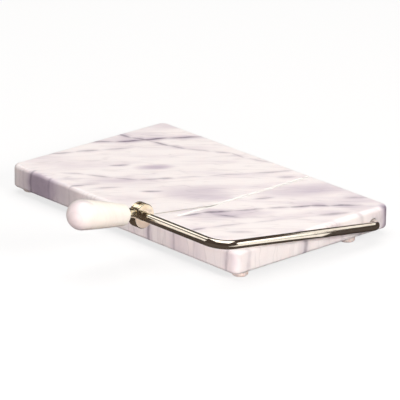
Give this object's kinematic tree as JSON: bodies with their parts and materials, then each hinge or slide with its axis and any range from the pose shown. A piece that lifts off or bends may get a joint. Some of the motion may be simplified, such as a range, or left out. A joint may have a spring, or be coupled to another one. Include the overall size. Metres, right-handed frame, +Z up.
{
  "type": "cheese wire cutter",
  "caption": "Marble cheese slicer: a stone board with a saw-cut groove and a hinged steel rod bow carrying a taut cutting wire, tightened by turning its marble handle.",
  "frame": {"origin": "centre of the whole object's box, on the worktop plane under the feet", "axes": "+X along the board towards the end the bow pivots in, +Y from the handle side to the back edge, +Z up"},
  "size_m": [0.2108, 0.1962, 0.0459],
  "materials": {
    "board_marble": "polished white marble with pink and grey veins",
    "handle_marble": "polished white marble",
    "bow_rod": "bright polished plating on steel rod",
    "hub_brass": "pale polished brass, turned",
    "collar_brass": "pale polished brass, turned",
    "insert_brass": "plain machined brass",
    "cutting_wire": "drawn stainless wire",
    "wire_ball": "swaged stainless balls",
    "tension_screw": "plain machined steel",
    "washer_steel": "plain stamped steel",
    "foot_rubber": "pale translucent bumper rubber, matt",
    "adhesive": "thin pale foam adhesive"
  },
  "bodies": {
    "board": {"marble_board": "board_marble", "foot_front_left": "foot_rubber", "foot_front_right": "foot_rubber", "foot_back_left": "foot_rubber", "foot_back_right": "foot_rubber", "adhesive_disc_front_left": "adhesive", "adhesive_disc_front_right": "adhesive", "adhesive_disc_back_left": "adhesive", "adhesive_disc_back_right": "adhesive"},
    "bow": {"bow_rod": "bow_rod", "tension_hub": "hub_brass", "cutting_wire": "cutting_wire", "wire_ball_rear": "wire_ball", "wire_ball_front": "wire_ball"},
    "tension_screw": {"tension_screw": "tension_screw"},
    "handle": {"marble_handle": "handle_marble", "handle_insert": "insert_brass", "handle_collar": "collar_brass", "thrust_washer": "washer_steel"}
  },
  "joints": [
    {"name": "bow_hinge", "type": "hinge", "parent": "board", "child": "bow", "pos_m": [0.03041, 0.08414, 0.0093], "axis": [-1, 0, 0], "range_deg": [-1.7, 170]},
    {"name": "handle_turn", "type": "hinge", "parent": "bow", "child": "handle", "pos_m": [0.03041, -0.04303, 0.02591], "axis": [0, -0.9728, 0.2317], "range_deg": [0, 360]},
    {"name": "tension_screw_slide", "type": "slide", "parent": "bow", "child": "tension_screw", "axis": [0, 0.9728, -0.2317], "range_m": [0, 0.0005]}
  ],
  "couplings": [
    {"joint": "tension_screw_slide", "follows": "handle_turn", "m_per_rad": 0.000079577}
  ]
}
